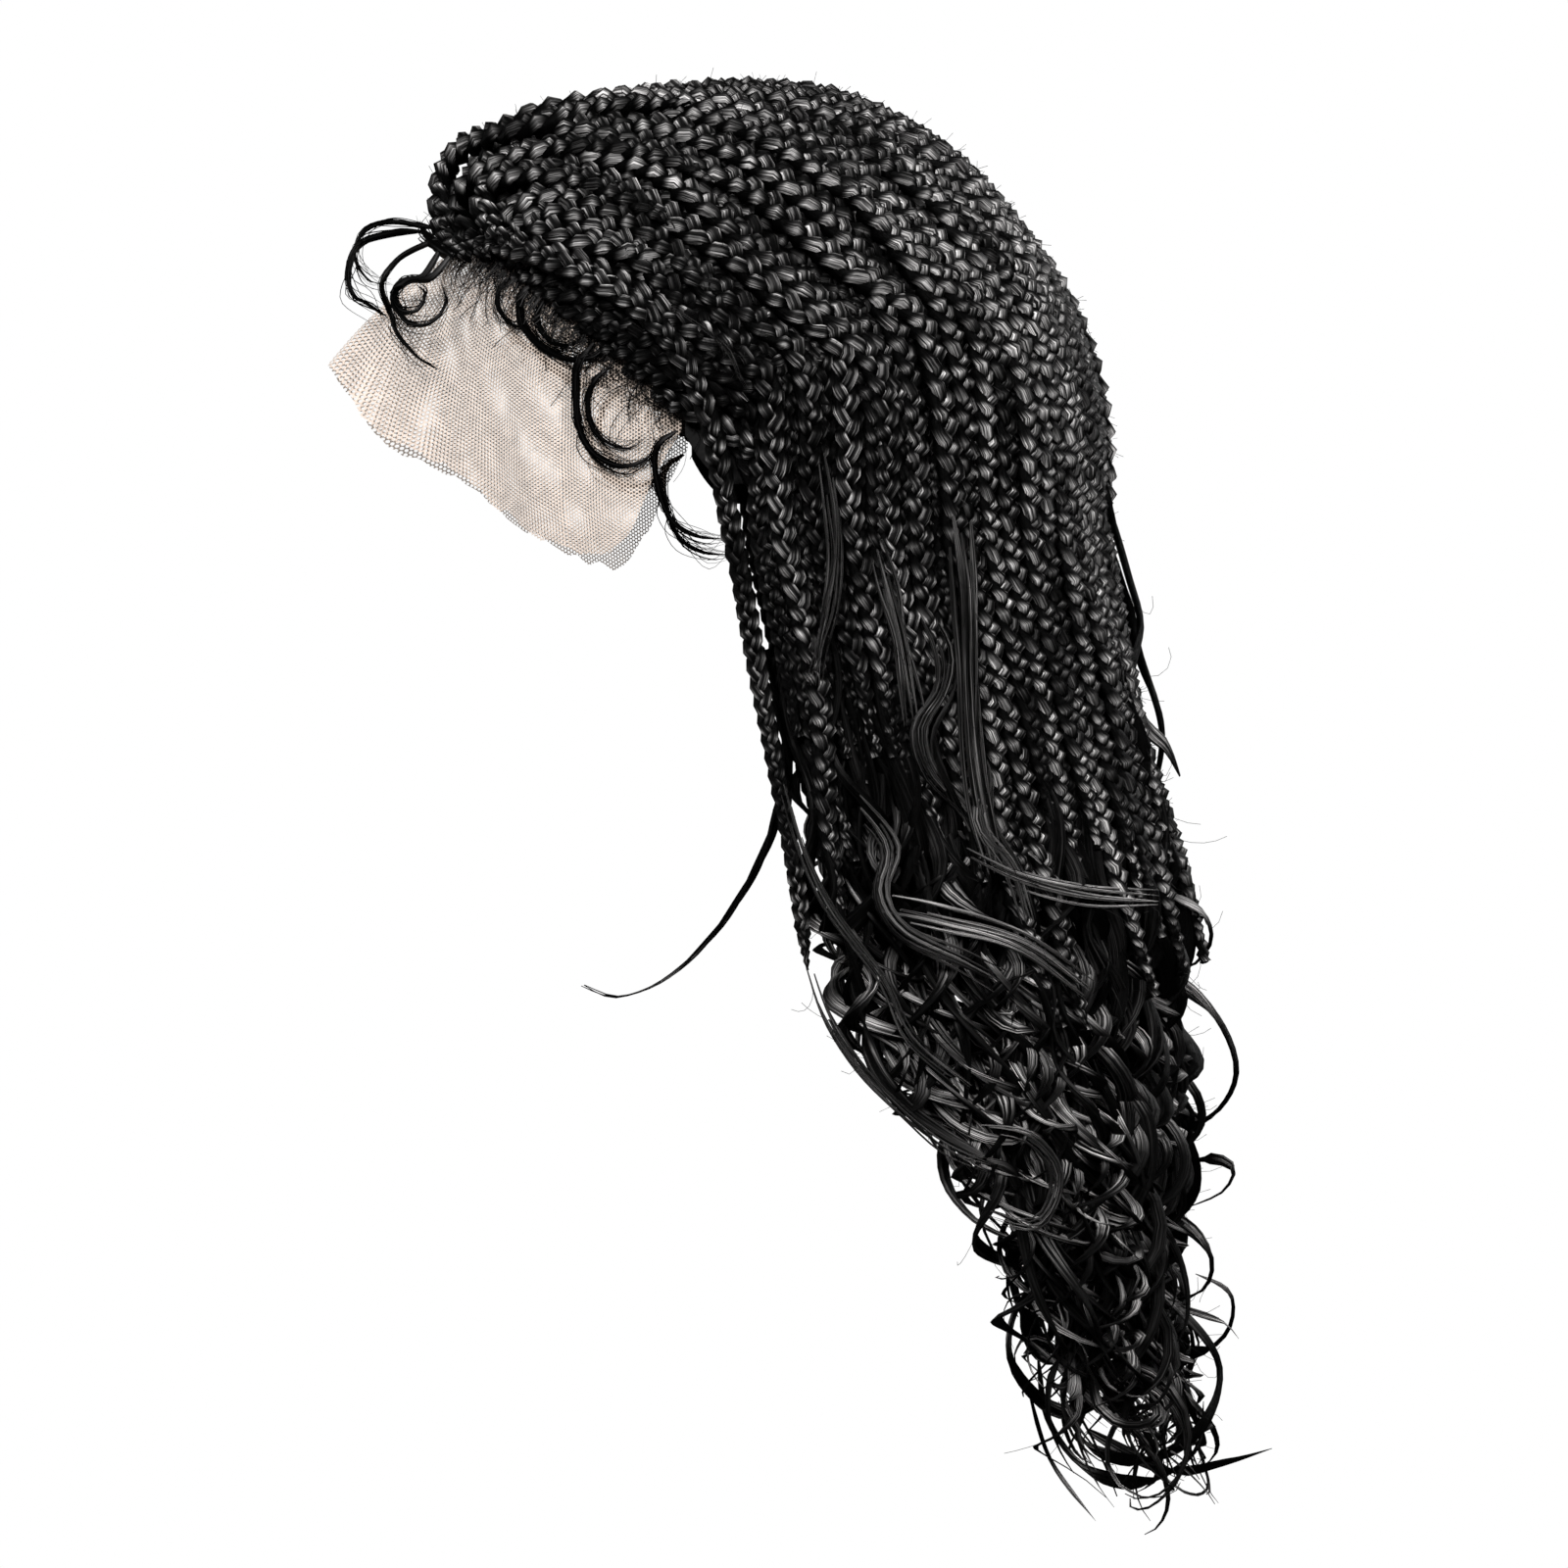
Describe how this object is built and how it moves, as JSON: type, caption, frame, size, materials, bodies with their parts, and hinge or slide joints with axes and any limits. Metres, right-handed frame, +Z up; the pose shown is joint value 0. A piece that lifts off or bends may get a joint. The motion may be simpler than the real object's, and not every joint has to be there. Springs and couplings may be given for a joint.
{
  "type": "braid wig",
  "caption": "Wig of plaited locks that end in loose curls, on a stretch cap with a sheer lace front, worn on a head.",
  "frame": {"origin": "inner crown of the cap, where it rests on the top of the head", "axes": "+Z up, the face looks along -Y, the wearer's left is +X"},
  "size_m": [0.211, 0.2877, 0.4416],
  "materials": {
    "hair": "synthetic fibre with a soft sheen",
    "cap_net": "matte stretch net",
    "lace": "sheer net"
  },
  "bodies": {
    "root": {"cap": "cap_net", "lace_front": "lace", "ear_tab_left": "cap_net", "ear_tab_right": "cap_net", "braids_temple_left": "hair", "braids_side_left": "hair", "braids_crown": "hair", "braids_side_right": "hair", "braids_temple_right": "hair", "curls_temple_left": "hair", "curls_side_left": "hair", "curls_crown": "hair", "curls_side_right": "hair", "curls_temple_right": "hair", "front_lock_right": "hair"}
  },
  "joints": []
}
